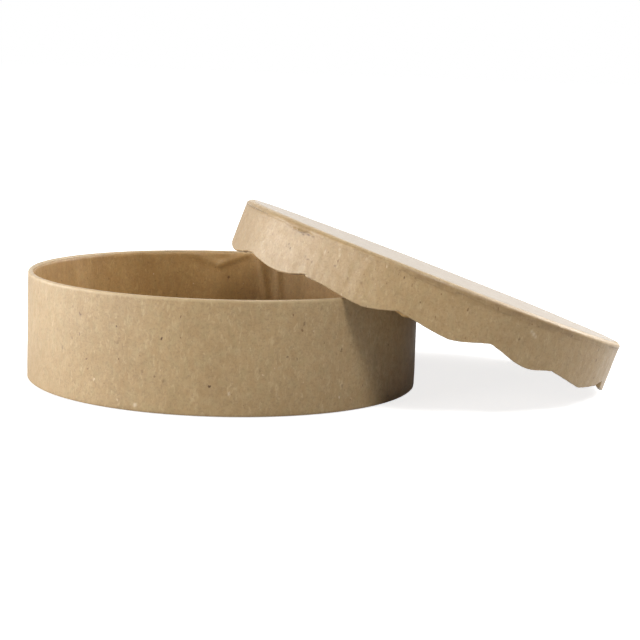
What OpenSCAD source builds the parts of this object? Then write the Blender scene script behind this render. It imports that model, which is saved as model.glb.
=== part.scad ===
// Round papier-mache cheese box: a plain drum base and a lid whose skirt ends in a wavy edge.
// Each wall is a bent board band and each flat a board disc, glued up between sheets of kraft paper.
// The lid has been taken off and leans on the base: it rests on the base's rim and on the table.
// The origin is the middle of the base's underside on the table, +Z is up and the lid leans to +X.

/* [Base] */
// Outside diameter of the base over its paper
base_d = 112; // [96:1:130]
// Height of the base from the table to the rim
base_h = 30.8; // [26:0.2:36]
// How far the wall sheet is turned down inside the rim, under the lining
rim_turn_in = 6; // [3:0.5:10]
// How far the wall sheet is turned in under the floor board
foot_turn_in = 7; // [4:0.5:12]
// Radius of the folded paper at the rim and at the foot
fold_r = 0.5; // [0.4:0.05:0.6]
// Step from the rim down to the top edge of the lining
lining_step = 0.6; // [0.5:0.1:2]
// How far the edge of the bottom sheet stands in from the wall
bottom_inset = 1.6; // [1:0.1:3]

/* [Board and paper] */
// Thickness of the board bands in the walls
band_t = 0.85; // [0.7:0.05:1.2]
// Thickness of the board discs in the floor and the lid
disc_t = 1.3; // [1:0.1:2]
// Clearance round the lid's board disc inside its band
disc_slip = 0.05; // [0.05:0.01:0.15]
// Thickness of one sheet of kraft paper
paper_t = 0.25; // [0.2:0.05:0.3]
// Thickness of a wall's lining, laid up from two sheets
lining_t = 0.5; // [0.45:0.05:0.7]
// Thickness of the gummed tape over the joint of a band
tape_t = 0.15; // [0.1:0.05:0.2]
// Width of that tape along the band
tape_w = 12; // [8:1:20]
// Clearance round the tape in the lining's back
tape_slip = 0.05; // [0.04:0.01:0.08]
// Gap between the two butted ends of a band
butt_gap = 0.4; // [0.2:0.1:1]
// Width of the lap where the two ends of the base's wall sheet meet
lap_w = 9; // [5:1:14]

/* [Lid] */
// Clearance all round between the base and the inside of the lid
lid_gap = 0.65; // [0.4:0.05:1.2]
// Depth of the lid from its top to the feet of the scallops
lid_depth = 13.85; // [12:0.05:18]
// Radius of the lid's top edge over the paper
lid_edge_r = 1.2; // [0.8:0.1:1.3]
// How far the skirt sheet is turned in over the top of the board, under the top sheet
head_turn_in = 6; // [3:0.5:10]
// How far the skirt sheet is turned up inside the skirt, under the lining
skirt_turn_in = 6; // [6:0.5:8]
// How far the top sheet is turned down over the skirt where it reaches lowest
turn_down = 2.6; // [2.4:0.1:3.5]
// Number of torn arcs along the edge of the turned-down sheet
tear_count = 11; // [7:1:15]
// Height of a torn arc
tear_rise = 1; // [0.3:0.1:1.2]

/* [Scallops] */
// Number of scallops round the skirt
scallop_count = 14; // [10:1:18]
// Usual height of the notch between two scallops over their feet
notch_rise = 1.5; // [1:0.1:2]
// How crisp the top of a notch is, from 0 for a round wave to 1 for a sharp point
notch_crisp = 0.5; // [0:0.1:1]
// Place of a scallop's foot between its two notches, as a share of the way
foot_place = 0.58; // [0.4:0.01:0.6]

/* [Leaning lid] */
// Turn along the skirt from its lowest scallop to the place that rests on the rim
rest_turn = 126.2; // [118:0.2:132]
// Sideways offset of the lid from the middle of the base
lean_offset = 4.2; // [3:0.2:5]
// Clearance that keeps the resting lid apart from the rim and the table
rest_gap = 0.1; // [0.05:0.05:0.3]

/* [Hidden] */
$fn = 96;

kraft = "#B59970";
kraft_lining = "#A68559";
greyboard = "#9B8F7C";
gummed_tape = "#B59A72";

// Base, from the outside in and from the table up
base_r = base_d / 2;
base_band_r = base_r - paper_t;
base_band_in = base_band_r - band_t;
base_in = base_band_in - lining_t;
floor_low = 2 * paper_t;
floor_top = floor_low + disc_t;
base_band_top = base_h - paper_t;
base_joint_turn = 64;
base_lap_turn = 150;

// Lid, from the inside out and, in its own frame, from the feet of its scallops up
lid_in = base_r + lid_gap;
lid_band_in = lid_in + lining_t;
lid_band_r = lid_band_in + band_t;
lid_r = lid_band_r + paper_t;
lid_board_top = lid_depth - 2 * paper_t;
lid_board_low = lid_board_top - disc_t;
lid_joint_turn = 75;
lining_rise = 0.8;

// The lid's top edge: three rounded corners about one centre
board_corner = min(lid_edge_r - 2 * paper_t, 0.9 * band_t);
corner_r = lid_band_r - board_corner;
corner_z = lid_board_top - board_corner;
corner_steps = 3;

// The leaning lid: its tilt and its place follow from what it rests on
touch_r = lid_band_in - paper_t;
lean_tilt = asin(base_h / (lid_r - touch_r * cos(rest_turn)));
touch_y = lean_offset + touch_r * sin(rest_turn);
lean_x = sqrt(base_r * base_r - touch_y * touch_y) - touch_r * cos(rest_turn) * cos(lean_tilt);
lean_z = lid_r * sin(lean_tilt) + rest_gap;

// Where the skirt crosses the far side of the rim, found by halving the stretch it lies in
function skirt_place(turn) =
    [lean_x + touch_r * cos(turn) * cos(lean_tilt), touch_r * sin(turn) - lean_offset];
function crossing(low, high, rounds) =
    let (middle = (low + high) / 2)
    rounds == 0 ? middle
    : norm(skirt_place(middle)) > base_r ? crossing(middle, high, rounds - 1)
    : crossing(low, middle, rounds - 1);
rim_turn = crossing(90, 160, 20);
rim_rise = (base_h - lean_z + touch_r * cos(rim_turn) * sin(lean_tilt)) / cos(lean_tilt);

// The scallops are cut by hand, so no two are alike: how far each notch stands off its even
// place in degrees, how much higher than usual it is cut, how much lower the scallop before it
// hangs, how far along that scallop's foot is shifted, and how pointed it is, from 0 for round
// to 1 for straight sides
scallop_pitch = 360 / scallop_count;
notch_shifts = [1, -0.8, 0.6, -1.2, 0, 0.9, -1.4, -1.1, 1.9, 4.9, 4.3, -0.3, 0.4, -0.9];
notch_extras = [-0.4, 0.2, -0.3, 0.1, 0, 0.3, -0.2, 0, 0, 0.35, 1.1, -0.25, -0.6, -0.5];
scallop_drops = [0, 0.1, 0.3, 0, 0.1, 0, 0.4, 0.8, 0.75, 0.45, 0.12, 0.3, 0.95, 0.7];
foot_shifts = [0, 0.02, -0.03, 0, 0, 0.02, -0.02, 0, 0.05, 0.065, -0.02, 0.02, -0.025, 0];
scallop_points = [0.2, 0, 0.3, 0, 0, 0.4, 0, 0, 0, 0.4, 0.3, 0, 0.9, 0.3];
half_steps = 5;

// The rim of the base stands in one notch, which is cut where the skirt crosses it
rim_notch = round(rim_turn / scallop_pitch - 0.5);
rim_clear = 0.5;
function pick(list, k) = list[(k + scallop_count) % scallop_count % len(list)];
function notch_turn(k) = k == rim_notch ? rim_turn + 0.5 : (k + 0.5) * scallop_pitch + pick(notch_shifts, k);
function notch_top(k) = k == rim_notch ? rim_rise + rim_clear : notch_rise + pick(notch_extras, k);
function between(low, high, t) = low + (high - low) * t;
function ease(t, point) =
    between(between((1 - cos(180 * t)) / 2, 1 - cos(90 * t), notch_crisp), t, point);

// The wavy edge as a list of turns and heights, notch to foot and foot to notch
wave = [
    for (k = [0 : scallop_count - 1])
        let (
            before = notch_turn(k - 1),
            after = notch_turn(k),
            foot = between(before, after, foot_place + pick(foot_shifts, k)),
            low = -pick(scallop_drops, k),
            point = pick(scallop_points, k)
        )
        each concat(
            [for (i = [0 : half_steps - 1]) let (t = i / half_steps)
                [between(before, foot, t), between(low, notch_top(k - 1), ease(1 - t, point))]],
            [for (i = [0 : half_steps - 1]) let (t = i / half_steps)
                [between(foot, after, t), between(low, notch_top(k), ease(t, point))]]
        )
];

// A quarter round of the lid's top edge, from the side up to the top
function top_corner(r) = [
    for (i = [0 : corner_steps]) let (a = 90 * i / corner_steps)
        [corner_r + r * cos(a), corner_z + r * sin(a)]
];

// A ring whose section changes as it goes round: each section is a turn and an outline of radius and height
module swept_ring(sections, closed = true) {
    n = len(sections);
    m = len(sections[0][1]);
    points = [for (s = sections) for (p = s[1]) [p.x * cos(s[0]), p.x * sin(s[0]), p.y]];
    sides = [
        for (j = [0 : n - (closed ? 1 : 2)]) let (a = j * m, b = (j + 1) % n * m)
            for (i = [0 : m - 1]) let (k = (i + 1) % m)
                each [[a + i, a + k, b + k], [a + i, b + k, b + i]]
    ];
    ends = closed ? [] : [[for (i = [m - 1 : -1 : 0]) i], [for (i = [0 : m - 1]) (n - 1) * m + i]];
    polyhedron(points, concat(sides, ends));
}

// A dished disc: its outline runs from the underside near the axis, round the edge, to the top
module swept_disc(sections, z_low, z_high) {
    n = len(sections);
    m = len(sections[0][1]);
    points = [for (s = sections) for (p = s[1]) [p.x * cos(s[0]), p.x * sin(s[0]), p.y]];
    low = n * m;
    faces = [
        for (j = [0 : n - 1]) let (a = j * m, b = (j + 1) % n * m)
            each concat(
                [[low, a, b], [a + m - 1, low + 1, b + m - 1]],
                [for (i = [0 : m - 2]) each [[a + i, a + i + 1, b + i + 1], [a + i, b + i + 1, b + i]]]
            )
    ];
    polyhedron(concat(points, [[0, 0, z_low], [0, 0, z_high]]), faces);
}

// A plain ring between two radii and two heights, with a band's outline
module band(r_low, r_high, z_low, z_high) {
    rotate_extrude() translate([r_low, z_low]) square([r_high - r_low, z_high - z_low]);
}

// A short arc of such a ring, of a given width about one turn
module band_arc(turn, width, r_low, r_high, z_low, z_high) {
    angle = width / r_low * 180 / PI;
    rotate([0, 0, turn - angle / 2])
        rotate_extrude(angle = angle) translate([r_low, z_low]) square([r_high - r_low, z_high - z_low]);
}

// The slit between the butted ends of a band
module butt_slit(turn, r, z_low, z_high) {
    rotate([0, 0, turn]) translate([r / 2, -butt_gap / 2, z_low]) cube([r, butt_gap, z_high - z_low]);
}

// Section of a band with both upper corners and its lower outside corner rounded
module folded_section(r_low, r_high, z_low, z_high, corner) {
    translate([r_low, z_low + corner]) square([r_high - r_low, z_high - z_low - 2 * corner]);
    translate([r_low + corner, z_high - 2 * corner]) square([r_high - r_low - 2 * corner, 2 * corner]);
    translate([r_low, z_low]) square([r_high - r_low - corner, 2 * corner]);
    for (p = [[r_low + corner, z_high - corner], [r_high - corner, z_high - corner], [r_high - corner, z_low + corner]])
        translate(p) circle(corner);
}

// Bent board band of the base, open at its joint
module base_wall() {
    color(greyboard) difference() {
        band(base_band_in, base_band_r, floor_low, base_band_top);
        butt_slit(base_joint_turn, base_r, 0, base_h);
    }
}

// Board disc inside the foot of the band
module base_floor() {
    color(greyboard) translate([0, 0, floor_low]) cylinder(r = base_band_in, h = disc_t);
}

// Outer sheet of the base, turned in over the rim and under the foot, its ends lapped
module base_wall_cover() {
    turn_in_r = base_band_in - paper_t;
    color(kraft) union() {
        rotate_extrude() difference() {
            union() {
                folded_section(turn_in_r, base_r, paper_t, base_h, fold_r);
                translate([base_r - foot_turn_in, paper_t]) square([foot_turn_in - fold_r, paper_t]);
            }
            translate([base_band_in, floor_low]) square([band_t, base_band_top - floor_low]);
            translate([turn_in_r - 1, floor_low]) square([paper_t + 1, base_h - rim_turn_in - floor_low]);
        }
        band_arc(base_lap_turn, lap_w, base_r, base_r + paper_t, paper_t + fold_r, base_h - fold_r);
    }
}

// Round sheet under the foot, pasted over the turned-in edge of the wall sheet
module base_bottom_cover() {
    color(kraft) union() {
        cylinder(r = base_r - bottom_inset, h = paper_t);
        cylinder(r = base_r - foot_turn_in, h = floor_low);
    }
}

// Tape across the joint of the base's band, on its inner face
module base_joint_tape() {
    color(gummed_tape)
        band_arc(base_joint_turn, tape_w, base_band_in - tape_t, base_band_in, floor_top, base_h - rim_turn_in);
}

// Lining of the base's wall, laid over the tape and over the sheet turned in at the rim
module base_wall_lining() {
    color(kraft_lining) difference() {
        band(base_in, base_band_in, floor_top, base_h - lining_step);
        band(base_band_in - paper_t, base_r, base_h - rim_turn_in, base_h);
        band_arc(base_joint_turn, tape_w + 2 * tape_slip, base_band_in - tape_t - tape_slip, base_r, 0, base_h);
    }
}

// Round sheet on the floor inside the wall lining
module base_floor_lining() {
    color(kraft_lining) translate([0, 0, floor_top]) cylinder(r = base_in, h = paper_t);
}

// Carries a piece of the lid from the lid's own frame to its leaning place
module leaning() {
    translate([lean_x, -lean_offset, lean_z]) rotate([0, lean_tilt, 0]) children();
}

// Board disc inside the head of the lid's band
module lid_panel() {
    color(greyboard) leaning()
        translate([0, 0, lid_board_low]) cylinder(r = lid_band_in - disc_slip, h = disc_t);
}

// Bent board band of the lid, cut to the wavy edge and open at its joint
module lid_skirt() {
    sections = [for (w = wave) [w[0], concat(
        [[lid_band_in, w[1] + paper_t], [lid_band_r, w[1] + paper_t]],
        top_corner(board_corner),
        [[lid_band_in, lid_board_top]]
    )]];
    color(greyboard) leaning() difference() {
        swept_ring(sections);
        butt_slit(lid_joint_turn, lid_r, -lid_depth, lid_depth);
    }
}

// Outer sheet of the skirt, folded in under the wavy edge and over the head
module lid_skirt_cover() {
    head_z = lid_board_top + paper_t;
    head_r = lid_r - head_turn_in;
    fold = paper_t / 2;
    color(kraft) leaning() swept_ring([for (w = wave) let (low = w[1]) [w[0], concat(
        [[touch_r + fold, low], [lid_r - fold, low], [lid_r, low + fold]],
        top_corner(board_corner + paper_t),
        [[head_r, head_z], [head_r, lid_board_top]],
        [for (i = [corner_steps : -1 : 0]) top_corner(board_corner)[i]],
        [[lid_band_r, low + paper_t], [lid_band_in, low + paper_t]],
        [[lid_band_in, skirt_turn_in], [touch_r, skirt_turn_in], [touch_r, low + fold]]
    )]]);
}

// Height of the torn edge of the turned-down top sheet at one turn
function torn_edge(turn) =
    let (place = tear_count * turn / 360 + sin(3 * turn) / 4)
    lid_depth - turn_down + tear_rise * sqrt(abs(sin(180 * place)));

// Round sheet over the top, turned down over the skirt with a torn, uneven edge
module lid_top_cover() {
    head_r = lid_r - head_turn_in;
    sections = [for (w = wave) let (edge = torn_edge(w[0])) [w[0], concat(
        [[head_r, lid_board_top], [head_r, lid_board_top + paper_t]],
        [for (i = [corner_steps : -1 : 0]) top_corner(board_corner + paper_t)[i]],
        [[lid_r, edge], [lid_r + paper_t, edge]],
        top_corner(board_corner + 2 * paper_t)
    )]];
    color(kraft) leaning() swept_disc(sections, lid_board_top, lid_depth);
}

// Whether a turn lies under the tape across the joint of the lid's band
tape_turn = tape_w / lid_band_in * 90 / PI;
function taped(turn) = abs(turn - lid_joint_turn) <= tape_turn;

// Lining of the skirt, laid over the tape and over the sheet turned up at the wavy edge
module lid_skirt_lining() {
    color(kraft_lining) leaning() swept_ring([for (w = wave)
        let (low = w[1] + lining_rise, back = lid_band_in - (taped(w[0]) ? tape_t : 0)) [w[0], [
            [lid_in, low], [touch_r, low], [touch_r, skirt_turn_in],
            [back, skirt_turn_in], [back, lid_board_low], [lid_in, lid_board_low]
        ]]]);
}

// Tape across the joint of the lid's band, on its inner face
module lid_joint_tape() {
    sections = [for (w = wave) if (taped(w[0])) [w[0], [
        [lid_band_in - tape_t, skirt_turn_in], [lid_band_in, skirt_turn_in],
        [lid_band_in, lid_board_low], [lid_band_in - tape_t, lid_board_low]
    ]]];
    color(gummed_tape) leaning() swept_ring(sections, closed = false);
}

// Round sheet inside the top of the lid
module lid_panel_lining() {
    color(kraft_lining) leaning()
        translate([0, 0, lid_board_low - paper_t]) cylinder(r = lid_in - disc_slip, h = paper_t);
}

base_wall();
base_floor();
base_wall_cover();
base_bottom_cover();
base_wall_lining();
base_floor_lining();
base_joint_tape();
lid_panel();
lid_skirt();
lid_top_cover();
lid_skirt_cover();
lid_skirt_lining();
lid_panel_lining();
lid_joint_tape();
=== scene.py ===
# %% [markdown]
# A round papier-mache cheese box stands open. Its lid leans on it, one edge on the table.
# The imported CAD model is loaded first, because it fixes every size and place.
# %% Load the frame
import bisect
import math

import bmesh
import bpy
from mathutils import Matrix, Vector, noise


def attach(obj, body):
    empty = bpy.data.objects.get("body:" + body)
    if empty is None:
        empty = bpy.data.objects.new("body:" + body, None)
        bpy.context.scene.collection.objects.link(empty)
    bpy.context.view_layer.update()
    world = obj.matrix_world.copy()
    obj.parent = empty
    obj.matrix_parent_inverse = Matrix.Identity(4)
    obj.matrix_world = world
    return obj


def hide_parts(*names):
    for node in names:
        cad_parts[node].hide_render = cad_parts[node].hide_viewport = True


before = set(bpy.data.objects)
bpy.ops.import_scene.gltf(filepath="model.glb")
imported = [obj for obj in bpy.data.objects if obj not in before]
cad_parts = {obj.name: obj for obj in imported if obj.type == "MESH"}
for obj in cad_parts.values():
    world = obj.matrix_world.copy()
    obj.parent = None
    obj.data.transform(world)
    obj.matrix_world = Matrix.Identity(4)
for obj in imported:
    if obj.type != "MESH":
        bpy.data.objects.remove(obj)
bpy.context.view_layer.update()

# %% [markdown]
# The sizes are those of the CAD model, in millimetres, because paper is easier to think of so.
# A helper turns a finished mesh into metres. The lid has a frame of its own, with its axis up
# and its wavy edge at height 0, and one matrix carries it to where it leans.
# %% Sizes and the leaning place
MM = 0.001
PAPER = 0.25
BASE_R, BASE_H = 56.0, 30.8
BASE_BAND_R = BASE_R - PAPER
BASE_BAND_IN = BASE_BAND_R - 0.85
BASE_IN = BASE_BAND_IN - 0.5
FLOOR_TOP = 1.8
LID_IN = BASE_R + 0.65
LID_BAND_IN = LID_IN + 0.5
LID_BAND_R = LID_BAND_IN + 0.85
LID_R = LID_BAND_R + PAPER
LID_DEPTH = 13.85
TOUCH_R = LID_BAND_IN - PAPER
REST_TURN = math.radians(126.2)
LEAN_OFFSET = 4.2
tilt = math.asin(BASE_H / (LID_R - TOUCH_R * math.cos(REST_TURN)))
touch_y = LEAN_OFFSET + TOUCH_R * math.sin(REST_TURN)
lean_x = math.sqrt(BASE_R**2 - touch_y**2) - TOUCH_R * math.cos(REST_TURN) * math.cos(tilt)
lean_z = LID_R * math.sin(tilt) + 0.1
to_base = Matrix.Scale(MM, 4)
to_lean = to_base @ Matrix.Translation((lean_x, -LEAN_OFFSET, lean_z)) @ Matrix.Rotation(tilt, 4, "Y")
print(f"lid tilts {math.degrees(tilt):.2f} degrees, its middle is at x {lean_x:.2f}, z {lean_z:.2f} mm")

# %% [markdown]
# The camera stands in front of the box, a little above it, at the photograph's viewing angle.
# Its place was found by matching the ellipses of the rim and the foot. It is written as a
# heading, a pitch and a small roll, which are what a photographer would set on a tripod.
# %% Camera
HEADING, PITCH, ROLL = math.radians(11.4397), 0.154545, -0.035522
CAMERA_PLACE = Vector((28.045, -456.34, 88.907)) * MM
sight_h = Vector((math.sin(HEADING), math.cos(HEADING), 0))
right_h = Vector((math.cos(HEADING), -math.sin(HEADING), 0))
eye = right_h * CAMERA_PLACE.x + sight_h * CAMERA_PLACE.y + Vector((0, 0, CAMERA_PLACE.z))
forward = sight_h * math.cos(PITCH) - Vector((0, 0, math.sin(PITCH)))
level_up = sight_h * math.sin(PITCH) + Vector((0, 0, math.cos(PITCH)))
right = right_h * math.cos(ROLL) - level_up * math.sin(ROLL)
up = right_h * math.sin(ROLL) + level_up * math.cos(ROLL)
camera_data = bpy.data.cameras.new("camera")
camera_data.lens = 89.366
camera_data.clip_start = 0.01
camera = bpy.data.objects.new("camera", camera_data)
camera.matrix_world = Matrix.Translation(eye) @ Matrix((right, up, -forward)).transposed().to_4x4()
bpy.context.scene.collection.objects.link(camera)
bpy.context.scene.camera = camera
print("camera at", [round(c, 4) for c in eye])

# %% [markdown]
# The light is a plain studio's. Two wide soft lamps stand low on the left, where the photograph
# is brightest. A small one hangs over the front right, and the lid's shadow on the base comes
# from it. A weaker wide one stands behind on the right. Each looks at the middle of the box.
# %% Lamps
AIM = Vector((0.028, 0.0, 0.02))


def toward(turn, height):
    """A direction: turn is 0 towards the camera and grows to its right, height is an elevation."""
    turn, height = math.radians(turn), math.radians(height)
    flat = right_h * math.sin(turn) - sight_h * math.cos(turn)
    return flat * math.cos(height) + Vector((0, 0, math.sin(height)))


def soft_lamp(name, turn, height, distance, size, power):
    """A square area lamp that looks at the box from a turn and a height."""
    data = bpy.data.lights.new(name, "AREA")
    data.shape = "SQUARE"
    data.size = size
    data.energy = power
    way = toward(turn, height)
    lamp = bpy.data.objects.new(name, data)
    lamp.matrix_world = Matrix.Translation(AIM + way * distance) @ way.to_track_quat("Z", "Y").to_matrix().to_4x4()
    bpy.context.scene.collection.objects.link(lamp)
    return lamp


soft_lamp("low_left", -98, 5, 0.7, 0.5, 5.6)
soft_lamp("front_left", -60, 6, 0.6, 0.5, 3.6)
soft_lamp("front_top", 31, 53, 1.0, 0.28, 5.4)
soft_lamp("back_right", 120, 30, 1.1, 0.7, 13.5)

# %% [markdown]
# White surroundings are seen by the camera and in reflections, which is why the paper looks
# paler where the eye grazes it. For plain diffuse light the same surroundings are dark, so that
# the lamps keep their shapes. Light Path tells the two kinds of ray apart. The table glows a
# little for the camera too, less near the box, where its shadow has to be seen.
# %% Surroundings


def add_node(tree, kind, inputs=None, **settings):
    """A shader node with its settings and its constant inputs set."""
    made = tree.nodes.new(kind)
    for key, value in settings.items():
        setattr(made, key, value)
    for key, value in (inputs or {}).items():
        made.inputs[key].default_value = value
    return made


def chain(tree, kind, source, socket=0, inputs=None, **settings):
    """A node fed by one socket. Returns its first output."""
    made = add_node(tree, kind, inputs, **settings)
    tree.links.new(source, made.inputs[socket])
    return made.outputs[0]


def ramp(tree, source, low, high, at_low=0.0, at_high=1.0):
    """A socket mapped from one range to another, held at its ends."""
    return chain(tree, "ShaderNodeMapRange", source, "Value",
                 {"From Min": low, "From Max": high, "To Min": at_low, "To Max": at_high})


def maths(tree, operation, first, second):
    """One sum of two sockets or numbers."""
    made = add_node(tree, "ShaderNodeMath", operation=operation)
    for i, value in enumerate((first, second)):
        if isinstance(value, bpy.types.NodeSocket):
            tree.links.new(value, made.inputs[i])
        else:
            made.inputs[i].default_value = value
    return made.outputs[0]


def seen_white(tree, mirrored=1.0):
    """A socket that is 1 for the camera's rays, mirrored for a reflection or a window, else 0."""
    path = add_node(tree, "ShaderNodeLightPath")
    bounced = maths(tree, "MAXIMUM", path.outputs["Is Glossy Ray"], path.outputs["Is Transmission Ray"])
    return maths(tree, "MAXIMUM", path.outputs["Is Camera Ray"], maths(tree, "MULTIPLY", bounced, mirrored))


AMBIENT = 0.01
world = bpy.data.worlds.new("white_surroundings")
world.use_nodes = True
tree = world.node_tree
background = tree.nodes["Background"]
background.inputs["Color"].default_value = (1, 1, 1, 1)
level = add_node(tree, "ShaderNodeMapRange", {"To Min": AMBIENT, "To Max": 1.0})
tree.links.new(seen_white(tree), level.inputs["Value"])
tree.links.new(level.outputs["Result"], background.inputs["Strength"])
bpy.context.scene.world = world

bm = bmesh.new()
bmesh.ops.create_grid(bm, x_segments=1, y_segments=1, size=60.0)
floor_mesh = bpy.data.meshes.new("floor")
bm.to_mesh(floor_mesh)
bm.free()
floor = bpy.data.objects.new("floor", floor_mesh)
bpy.context.scene.collection.objects.link(floor)
floor_paint = bpy.data.materials.new("white_table")
floor_paint.use_nodes = True
tree = floor_paint.node_tree
tree.nodes.clear()
matt = add_node(tree, "ShaderNodeBsdfDiffuse", {"Color": (0.62, 0.62, 0.62, 1)})
lift = add_node(tree, "ShaderNodeEmission", {"Color": (1, 1, 1, 1)})
away = add_node(tree, "ShaderNodeVectorMath", operation="LENGTH")
tree.links.new(add_node(tree, "ShaderNodeTexCoord").outputs["Object"], away.inputs[0])
both = add_node(tree, "ShaderNodeAddShader")
out = add_node(tree, "ShaderNodeOutputMaterial")
lift_level = maths(tree, "MULTIPLY", seen_white(tree, 0.15), ramp(tree, away.outputs["Value"], 0.12, 0.28, 0.8, 1.0))
tree.links.new(lift_level, lift.inputs["Strength"])
tree.links.new(matt.outputs[0], both.inputs[0])
tree.links.new(lift.outputs[0], both.inputs[1])
tree.links.new(both.outputs[0], out.inputs["Surface"])
floor_mesh.materials.append(floor_paint)
print("floor and surroundings are white to the camera")

# %% [markdown]
# Kraft paper is brown pulp. Close up it has soft cloudy patches, a fine grain, a few dark and
# pale flecks of bark and straw, and short fibres. One node group makes all of them from
# Object coordinates, and each paper gives it its own tones. It puts out a colour, a roughness
# and a height. Attributes painted on the meshes add paste stains with painted shade in creases,
# in corners and under the top sheet's edge, worn folds with painted highlights along the rims
# and the lid's top edge, single marks of bark, straw or torn fibre where the photograph has them
# (some of them a painted shadow under the top sheet's torn edge), and the faint gloss of the
# lid's top, which was pressed flat and mirrors white where the eye grazes it.
# %% Kraft paper pattern


def mix_colour(tree, factor, first, second, blend="MIX"):
    """A colour mix whose inputs are sockets, numbers or colours."""
    made = add_node(tree, "ShaderNodeMix", data_type="RGBA", blend_type=blend)
    for key, value in (("Factor_Float", factor), ("A_Color", first), ("B_Color", second)):
        socket = next(s for s in made.inputs if s.identifier == key)
        if isinstance(value, bpy.types.NodeSocket):
            tree.links.new(value, socket)
        else:
            socket.default_value = value
    return next(s for s in made.outputs if s.identifier == "Result_Color")


def flecks(tree, place, scale, size, share, stretch, offset):
    """Small soft spots: one in each of a share of the pattern's cells."""
    bent = chain(tree, "ShaderNodeTexNoise", place, "Vector", {"Scale": 900, "Detail": 1}, normalize=False)
    shift = add_node(tree, "ShaderNodeVectorMath", {"Scale": 0.0004}, operation="SCALE")
    tree.links.new(bent.node.outputs["Color"], shift.inputs[0])
    bent = add_node(tree, "ShaderNodeVectorMath", operation="ADD")
    tree.links.new(place, bent.inputs[0])
    tree.links.new(shift.outputs[0], bent.inputs[1])
    moved = chain(tree, "ShaderNodeMapping", bent.outputs[0], "Vector", {"Scale": stretch, "Location": offset})
    cells = add_node(tree, "ShaderNodeTexVoronoi", {"Scale": scale})
    tree.links.new(moved, cells.inputs["Vector"])
    tint = add_node(tree, "ShaderNodeSeparateColor")
    tree.links.new(cells.outputs["Color"], tint.inputs["Color"])
    chosen = ramp(tree, tint.outputs[0], share, share * 0.6)
    reach = ramp(tree, tint.outputs[1], 0, 1, size * 0.5, size * 1.3)
    near = maths(tree, "SUBTRACT", reach, cells.outputs["Distance"])
    return maths(tree, "MULTIPLY", chosen, ramp(tree, near, 0, size * 0.5))


paper_group = bpy.data.node_groups.new("kraft_paper_pattern", "ShaderNodeTree")
for name, kind in (("Tone", "NodeSocketColor"), ("Shade", "NodeSocketColor"), ("Pale", "NodeSocketColor"),
                   ("Fleck", "NodeSocketFloat")):
    paper_group.interface.new_socket(name, in_out="INPUT", socket_type=kind)
for name, kind in (("Colour", "NodeSocketColor"), ("Roughness", "NodeSocketFloat"), ("Coat", "NodeSocketFloat"),
                   ("Height", "NodeSocketFloat")):
    paper_group.interface.new_socket(name, in_out="OUTPUT", socket_type=kind)
tree = paper_group
given = add_node(tree, "NodeGroupInput")
place = add_node(tree, "ShaderNodeTexCoord").outputs["Object"]


def cloud(scale, detail, roughness=0.5, stretch=(1, 1, 1), distortion=0.0):
    """Soft noise over Object coordinates, as a number about 0.5."""
    moved = chain(tree, "ShaderNodeMapping", place, "Vector", {"Scale": stretch})
    return chain(tree, "ShaderNodeTexNoise", moved, "Vector",
                 {"Scale": scale, "Detail": detail, "Roughness": roughness, "Distortion": distortion})


patches = cloud(75, 3, 0.55)
mottle = cloud(430, 3, 0.6)
streaks = cloud(700, 2, 0.5, (1, 1, 0.14))
hue = cloud(560, 1, 0.5, (1, 1, 0.7))
grain = cloud(1500, 3, 0.7)
fibre = cloud(900, 2, 0.6, (1, 1, 0.35), 1.5)
tone = mix_colour(tree, ramp(tree, patches, 0.35, 0.68, 0, 0.6), given.outputs["Tone"], given.outputs["Shade"])
tone = mix_colour(tree, ramp(tree, mottle, 0.42, 0.75, 0, 0.28), tone, given.outputs["Pale"])
tone = mix_colour(tree, ramp(tree, mottle, 0.5, 0.22, 0, 0.3), tone, given.outputs["Shade"])
tone = mix_colour(tree, ramp(tree, streaks, 0.45, 0.75, 0, 0.22), tone, given.outputs["Shade"])
tone = mix_colour(tree, ramp(tree, hue, 0.5, 0.7, 0, 0.5), tone, (1.0, 0.955, 0.91, 1), "MULTIPLY")
tone = mix_colour(tree, ramp(tree, hue, 0.5, 0.3, 0, 0.5), tone, (0.93, 1.0, 1.0, 1), "MULTIPLY")
tone = mix_colour(tree, ramp(tree, fibre, 0.55, 0.75, 0, 0.6), tone, given.outputs["Pale"])
tone = mix_colour(tree, ramp(tree, grain, 0.52, 0.3, 0, 0.42), tone, (0.2, 0.12, 0.06, 1))
dark = flecks(tree, place, 260, 0.10, 0.55, (1, 1, 0.8), (0, 0, 0))
fine = flecks(tree, place, 480, 0.12, 0.62, (1, 1, 0.6), (0.3, 0.1, 0.2))
light = flecks(tree, place, 380, 0.10, 0.36, (1, 1, 0.5), (0.7, 0.5, 0.9))
dark = maths(tree, "MULTIPLY", dark, given.outputs["Fleck"])
fine = maths(tree, "MULTIPLY", fine, given.outputs["Fleck"])
tone = mix_colour(tree, maths(tree, "MULTIPLY", fine, 0.75), tone, (0.16, 0.075, 0.028, 1))
tone = mix_colour(tree, maths(tree, "MULTIPLY", light, 0.6), tone, (0.72, 0.56, 0.38, 1))
tone = mix_colour(tree, maths(tree, "MULTIPLY", dark, 0.95), tone, (0.09, 0.038, 0.012, 1))
stain_and_shade = add_node(tree, "ShaderNodeAttribute", attribute_name="stain_and_shade").outputs["Fac"]
wear_and_highlight = add_node(tree, "ShaderNodeAttribute", attribute_name="wear_and_highlight").outputs["Fac"]
# Darker brown: paste stains, and painted shade in creases, in corners and under the top sheet's edge.
tone = mix_colour(tree, maths(tree, "MULTIPLY", stain_and_shade, 0.5), tone, (0.235, 0.138, 0.05, 1))
# Paler: worn folds, and painted highlights along the rims and the lid's top edge.
tone = mix_colour(tree, maths(tree, "MULTIPLY", wear_and_highlight, 0.4), tone, given.outputs["Pale"])
mark = add_node(tree, "ShaderNodeAttribute", attribute_name="mark").outputs["Fac"]
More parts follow.
